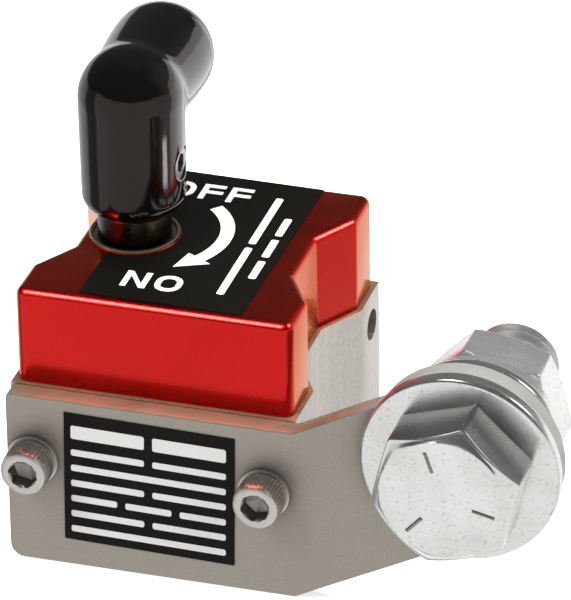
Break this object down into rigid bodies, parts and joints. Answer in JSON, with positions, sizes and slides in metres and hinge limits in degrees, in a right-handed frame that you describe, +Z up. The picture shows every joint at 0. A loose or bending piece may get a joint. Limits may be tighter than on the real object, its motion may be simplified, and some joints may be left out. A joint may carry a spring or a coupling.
{
  "type": "magnetic welding ground clamp",
  "caption": "Switchable magnetic welding ground clamp: square pole housing, red gear cover, push-to-turn L handle and an angled contact plate with a lead bolt.",
  "frame": {"origin": "centre of the pole housing's underside, which is the face that grips the work", "axes": "+X to the right towards the lead bolt, +Y to the back, where the handle points at OFF, +Z up"},
  "size_m": [0.0801, 0.0555, 0.0696],
  "materials": {
    "housing_steel": "vertical machining marks, satin",
    "plate_steel": "bead-blasted matt plating",
    "red_anodised": "glossy red anodised aluminium",
    "label_black": "satin printed film",
    "bright_zinc": "bright zinc plate",
    "screw_steel": "plated steel",
    "black_steel": "black oxide",
    "vinyl": "glossy dipped vinyl",
    "inner_steel": "turned steel",
    "bronze": "sintered bronze",
    "magnet_nickel": "nickel plate",
    "slip_plastic": "white low-friction film",
    "aluminium": "machined"
  },
  "bodies": {
    "clamp_body": {"pole_housing": "housing_steel", "contact_plate": "plate_steel", "plate_cap_screws": "screw_steel", "plate_lock_washers": "screw_steel", "gear_cover": "red_anodised", "cover_screws": "black_steel", "rating_label": "label_black", "switch_label": "label_black", "shaft_bushing": "bronze", "bottom_shield": "inner_steel", "lower_magnet": "magnet_nickel", "magnet_slip_disc": "slip_plastic", "bearing_plate": "aluminium", "hub_bushing": "bronze", "spring_guide": "inner_steel", "lock_pin": "inner_steel", "return_spring": "inner_steel", "ground_bolt": "bright_zinc", "front_washer": "bright_zinc", "inner_lug_washer": "bright_zinc"},
    "spring_seat": {"spring_cap": "inner_steel"},
    "handle": {"drive_shaft": "inner_steel", "drive_pinion": "inner_steel", "thrust_washer": "bronze", "handle_core": "inner_steel", "handle_grip": "vinyl", "handle_set_screw": "black_steel"},
    "rotor": {"upper_magnet": "magnet_nickel", "magnet_carrier": "inner_steel", "driven_gear": "inner_steel", "gear_clip": "black_steel"},
    "stud_washers": {"outer_lug_washer": "bright_zinc", "stud_lock_washer": "bright_zinc"},
    "lead_nut": {"stud_nut": "bright_zinc"}
  },
  "joints": [
    {"name": "handle_press", "type": "slide", "parent": "clamp_body", "child": "spring_seat", "axis": [0, 0, -1], "range_m": [0, 0.003], "deforming": ["return_spring"]},
    {"name": "handle_turn", "type": "hinge", "parent": "spring_seat", "child": "handle", "pos_m": [-0.0088, 0, 0], "axis": [0, 0, -1], "range_deg": [0, 180]},
    {"name": "magnet_turn", "type": "hinge", "parent": "clamp_body", "child": "rotor", "pos_m": [0, 0, 0], "axis": [0, 0, -1], "range_deg": [-180, 0]},
    {"name": "nut_back_off", "type": "slide", "parent": "clamp_body", "child": "stud_washers", "axis": [0, 1, 0], "range_m": [0, 0.00195]},
    {"name": "nut_turn", "type": "hinge", "parent": "stud_washers", "child": "lead_nut", "pos_m": [0.0454, -0.00895, 0.0257], "axis": [0, 1, 0], "range_deg": [0, 360]}
  ],
  "couplings": [
    {"joint": "magnet_turn", "follows": "handle_turn", "ratio": -1},
    {"joint": "nut_turn", "follows": "nut_back_off", "rad_per_m": 3215.4}
  ]
}
